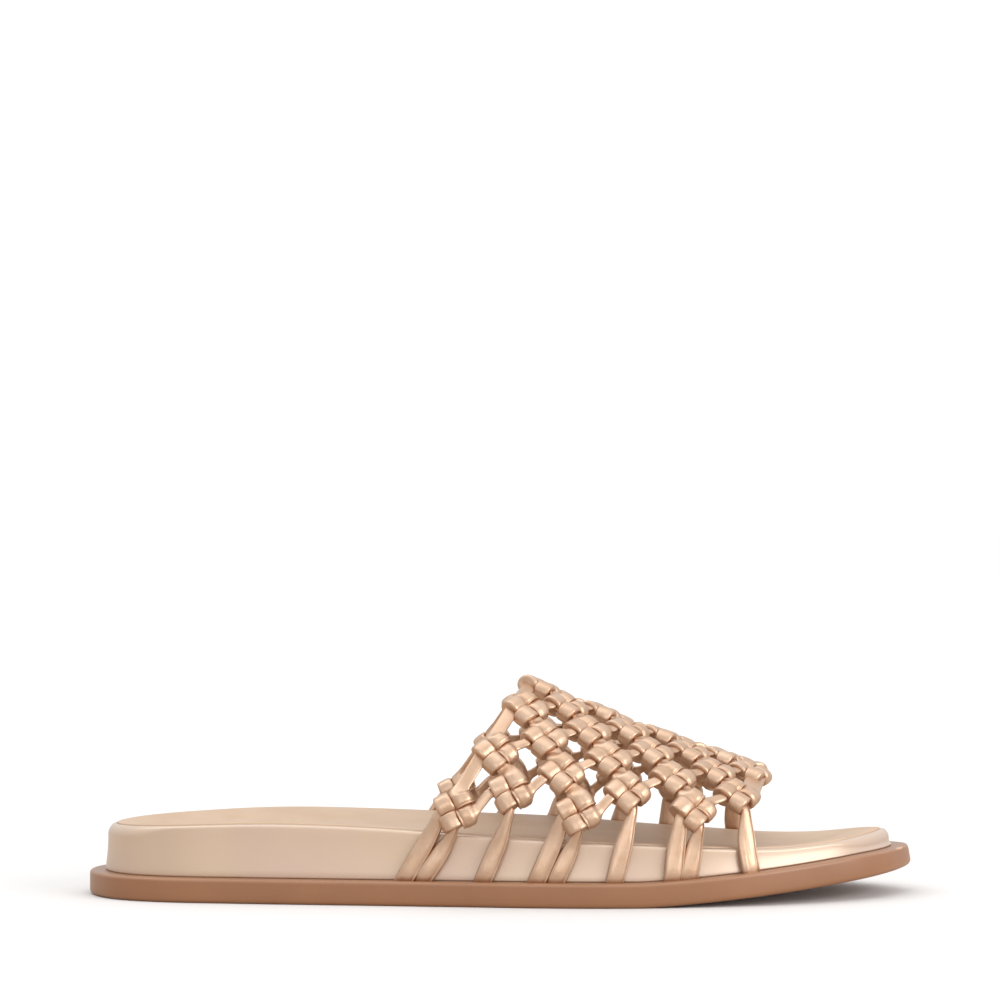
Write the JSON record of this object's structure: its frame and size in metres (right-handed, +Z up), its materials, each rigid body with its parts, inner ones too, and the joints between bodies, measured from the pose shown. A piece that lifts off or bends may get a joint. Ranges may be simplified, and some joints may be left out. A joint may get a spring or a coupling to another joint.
{
  "type": "slide sandal",
  "caption": "Flat slide sandal for the right foot with a net upper of knotted leather straps, a wrapped contoured footbed and a rubber sole.",
  "frame": {"origin": "middle of the sole's outline seen from above, on the plane that the sole stands on", "axes": "+X along the foot towards the toe, +Y towards the inner side of the right foot, +Z up"},
  "size_m": [0.258, 0.093, 0.0685],
  "materials": {
    "outsole": "tan gum rubber, smooth moulded satin",
    "midsole": "pearly rose-champagne foiled leather wrap",
    "insole": "matte beige-gold leather sock",
    "upper": "satin gold foiled leather, folded straps with a fine grain"
  },
  "bodies": {
    "root": {"outsole": "outsole", "midsole": "midsole", "insole": "insole", "upper": "upper"}
  },
  "joints": []
}
